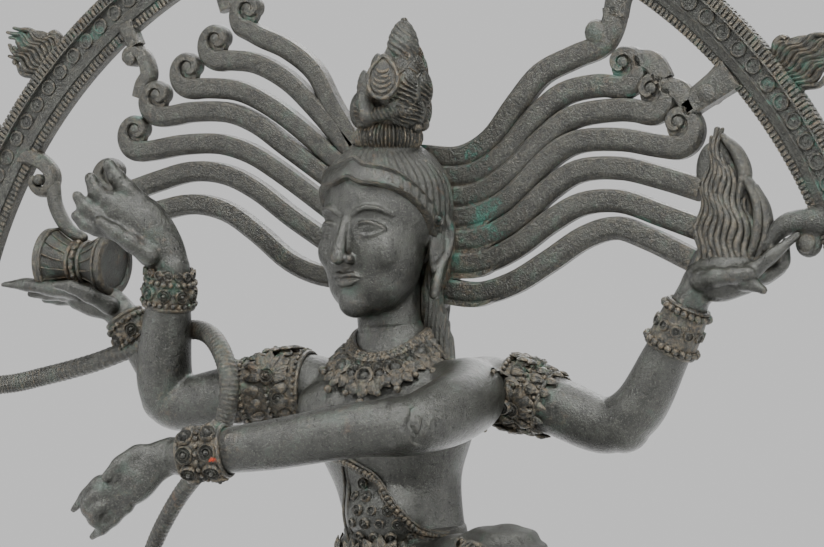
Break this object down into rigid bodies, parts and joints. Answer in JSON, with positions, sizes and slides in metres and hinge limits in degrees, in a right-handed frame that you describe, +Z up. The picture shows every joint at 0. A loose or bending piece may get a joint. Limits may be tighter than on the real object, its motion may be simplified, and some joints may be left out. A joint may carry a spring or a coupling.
{
  "type": "nataraja statue",
  "caption": "Cast bronze dancing figure with four arms and flying hair, standing on a dwarf and a double lotus base inside an arch of flames.",
  "frame": {"origin": "centre of the plinth's underside", "axes": "+Z up, the figure faces -Y, +X towards the figure's left hand"},
  "size_m": [0.6131, 0.2005, 0.7191],
  "materials": {
    "bronze_skin": "dark green-black patina, satin, fine cast grain, grey sheen on smooth limbs",
    "bronze_ornament": "dark patina with warm brown ridges and verdigris in the recesses",
    "bronze_hair": "dark green patina with verdigris in the grooves",
    "bronze_arch": "dark patina, rubbed ochre edges, rough cast ground",
    "bronze_base": "dark patina with rubbed brown edges"
  },
  "bodies": {
    "root": {"torso": "bronze_skin", "hips": "bronze_ornament", "head": "bronze_skin", "arm_front_right": "bronze_skin", "arm_front_left": "bronze_skin", "arm_back_right": "bronze_skin", "arm_back_left": "bronze_skin", "leg_standing": "bronze_skin", "leg_raised": "bronze_skin", "collar": "bronze_ornament", "chest_sash": "bronze_ornament", "belt": "bronze_ornament", "armlet_front_right": "bronze_ornament", "armlet_back_right": "bronze_ornament", "armlet_back_left": "bronze_ornament", "bracelet_front_right": "bronze_ornament", "bracelet_front_left": "bronze_ornament", "bracelet_back_right": "bronze_ornament", "bracelet_back_left": "bronze_ornament", "anklet_standing": "bronze_ornament", "anklet_raised": "bronze_ornament", "hair_cap": "bronze_hair", "topknot": "bronze_hair", "arch": "bronze_arch", "hair_left": "bronze_hair", "hair_right": "bronze_hair", "flame_01": "bronze_arch", "flame_02": "bronze_arch", "flame_03": "bronze_arch", "flame_04": "bronze_arch", "flame_05": "bronze_arch", "flame_06": "bronze_arch", "flame_07": "bronze_arch", "flame_08": "bronze_arch", "flame_09": "bronze_arch", "flame_10": "bronze_arch", "flame_11": "bronze_arch", "flame_12": "bronze_arch", "flame_13": "bronze_arch", "flame_14": "bronze_arch", "flame_15": "bronze_arch", "flame_16": "bronze_arch", "flame_17": "bronze_arch", "flame_18": "bronze_arch", "flame_19": "bronze_arch", "flame_20": "bronze_arch", "flame_21": "bronze_arch", "flame_22": "bronze_arch", "flame_23": "bronze_arch", "flame_24": "bronze_arch", "flame_25": "bronze_arch", "drum": "bronze_ornament", "palm_flame": "bronze_ornament", "tie_left": "bronze_arch", "tie_right": "bronze_arch", "cobra": "bronze_ornament", "dwarf": "bronze_base", "lotus_upper": "bronze_base", "lotus_lower": "bronze_base", "plinth": "bronze_base"}
  },
  "joints": []
}
